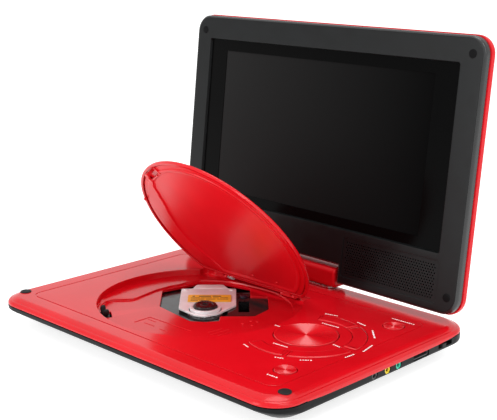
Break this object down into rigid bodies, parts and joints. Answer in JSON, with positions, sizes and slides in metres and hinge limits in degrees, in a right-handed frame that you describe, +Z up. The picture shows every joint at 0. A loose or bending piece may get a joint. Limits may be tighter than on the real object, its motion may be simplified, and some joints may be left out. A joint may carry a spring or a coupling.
{
  "type": "portable DVD player",
  "caption": "Clamshell portable disc player: wedge-edged base with disc well, pop-up lid and key ring, and a screen on a swivel-and-tilt hinge.",
  "frame": {"origin": "on the ground, under the middle of the open player's bounding box, 8.9 mm behind the middle of the base", "axes": "+X to the player's right, +Y to its back, +Z up"},
  "size_m": [0.241, 0.1858, 0.1845],
  "materials": {
    "red": "glossy red ABS",
    "black": "fine textured black ABS",
    "rubber": "soft black rubber",
    "glass": "dark LCD under clear window",
    "steel": "bright steel",
    "silver": "satin plated sheet",
    "label": "printed film",
    "yellow": "yellow socket plastic",
    "green": "green socket plastic",
    "board": "solder mask",
    "cell": "shrink film",
    "lens": "coated lens",
    "grey": "moulded grey plastic"
  },
  "bodies": {
    "base": {"base_top_shell": "red", "base_bottom_shell": "black", "foot_front_left": "rubber", "foot_front_right": "rubber", "foot_back_left": "rubber", "foot_back_right": "rubber", "base_screw_front_left": "steel", "base_screw_front_right": "steel", "base_screw_back_left": "steel", "base_screw_back_right": "steel", "base_bumper_left": "rubber", "base_bumper_right": "rubber", "battery_pack": "cell", "main_board": "board", "dc_jack": "grey", "av_jack": "yellow", "phones_jack": "green", "usb_socket": "steel", "traverse_frame": "grey", "spindle_motor": "steel", "drive_cover_plate": "silver", "caution_label": "label", "guide_rod_left": "steel", "guide_rod_right": "steel", "sled_motor": "steel", "lid_spring": "steel", "latch_housing": "black"},
    "lid": {"disc_lid_cover": "red", "disc_lid_panel": "red"},
    "swivel_hinge": {"hinge_block": "red", "swivel_plate": "steel", "swivel_post": "steel", "tilt_shaft_left": "steel", "tilt_shaft_right": "steel"},
    "screen": {"screen_bezel": "black", "screen_rear_cover": "red", "lcd_frame": "black", "lcd_panel": "glass", "speaker_left": "grey", "speaker_right": "grey", "screen_bumper_top_left": "rubber", "screen_bumper_top_right": "rubber", "screen_bumper_bottom_left": "rubber", "screen_bumper_bottom_right": "rubber"},
    "turntable": {"turntable_hub": "black"},
    "sled": {"pickup_sled": "black", "objective_lens": "lens"},
    "sled_screw": {"lead_screw": "steel"},
    "jaw_left": {"latch_jaw_left": "black"},
    "jaw_right": {"latch_jaw_right": "black"},
    "nav_carrier": {"nav_gimbal": "rubber"},
    "nav_pad": {"nav_pad": "red"},
    "key_upper_back": {"arc_key_upper_back": "red"},
    "key_upper_front": {"arc_key_upper_front": "red"},
    "key_lower_back": {"arc_key_lower_back": "red"},
    "key_lower_front": {"arc_key_lower_front": "red"},
    "key_round_front": {"round_key_front": "red"},
    "key_round_back": {"round_key_back": "red"},
    "switch": {"power_switch": "black"}
  },
  "joints": [
    {"name": "lid_hinge", "type": "hinge", "parent": "base", "child": "lid", "pos_m": [-0.0218, 0.0376, 0.0179], "axis": [1, 0, 0], "range_deg": [0, 53.8]},
    {"name": "screen_swivel", "type": "hinge", "parent": "base", "child": "swivel_hinge", "pos_m": [0, 0.0672, 0.02], "axis": [0, 0, 1], "range_deg": [-38, 18]},
    {"name": "screen_tilt", "type": "hinge", "parent": "swivel_hinge", "child": "screen", "pos_m": [0, 0.0672, 0.0262], "axis": [0.9996, -0.0279, 0], "range_deg": [-24, 45]},
    {"name": "turntable_spin", "type": "hinge", "parent": "base", "child": "turntable", "pos_m": [-0.0186, -0.0091, 0.014], "axis": [0, 0, 1], "continuous": true},
    {"name": "sled_travel", "type": "slide", "parent": "base", "child": "sled", "axis": [-0.7071, 0.7071, 0], "range_m": [-0.028, 0.0093]},
    {"name": "sled_screw_turn", "type": "hinge", "parent": "base", "child": "sled_screw", "pos_m": [0.00912, 0.01862, 0.0066], "axis": [-0.7071, 0.7071, 0], "range_deg": [-1700, 570]},
    {"name": "latch_left_jaw", "type": "hinge", "parent": "base", "child": "jaw_left", "pos_m": [-0.05669, -0.05849, 0.0098], "axis": [0.5593, 0.8289, 0], "range_deg": [0, 12], "stiffness_Nm_per_rad": 0.004, "springref_deg": -5.73},
    {"name": "latch_right_jaw", "type": "hinge", "parent": "base", "child": "jaw_right", "pos_m": [-0.05371, -0.06051, 0.0098], "axis": [0.5593, 0.8289, 0], "range_deg": [-12, 0]},
    {"name": "nav_rock_front_back", "type": "hinge", "parent": "base", "child": "nav_carrier", "pos_m": [0.0656, -0.0103, 0.0158], "axis": [1, 0, 0], "range_deg": [-2, 2], "stiffness_Nm_per_rad": 0.3},
    {"name": "nav_rock_left_right", "type": "hinge", "parent": "nav_carrier", "child": "nav_pad", "pos_m": [0.0656, -0.0103, 0.0158], "axis": [0, 1, 0], "range_deg": [-2, 2], "stiffness_Nm_per_rad": 0.3},
    {"name": "upper_back_press", "type": "slide", "parent": "base", "child": "key_upper_back", "axis": [0, 0, 1], "range_m": [-0.0007, 0], "stiffness_N_per_m": 350, "springref_m": 0.0011},
    {"name": "upper_front_press", "type": "slide", "parent": "base", "child": "key_upper_front", "axis": [0, 0, 1], "range_m": [-0.0007, 0], "stiffness_N_per_m": 350, "springref_m": 0.0011},
    {"name": "lower_back_press", "type": "slide", "parent": "base", "child": "key_lower_back", "axis": [0, 0, 1], "range_m": [-0.0007, 0], "stiffness_N_per_m": 350, "springref_m": 0.0011},
    {"name": "lower_front_press", "type": "slide", "parent": "base", "child": "key_lower_front", "axis": [0, 0, 1], "range_m": [-0.0007, 0], "stiffness_N_per_m": 350, "springref_m": 0.0011},
    {"name": "front_round_press", "type": "slide", "parent": "base", "child": "key_round_front", "axis": [0, 0, 1], "range_m": [-0.0007, 0], "stiffness_N_per_m": 350, "springref_m": 0.0011},
    {"name": "back_round_press", "type": "slide", "parent": "base", "child": "key_round_back", "axis": [0, 0, 1], "range_m": [-0.0007, 0], "stiffness_N_per_m": 350, "springref_m": 0.0011},
    {"name": "power_slide", "type": "slide", "parent": "base", "child": "switch", "axis": [0, 1, 0], "range_m": [0, 0.004]}
  ],
  "couplings": [
    {"joint": "latch_right_jaw", "follows": "latch_left_jaw", "ratio": -1},
    {"joint": "sled_screw_turn", "follows": "sled_travel", "rad_per_m": 1047.2}
  ]
}
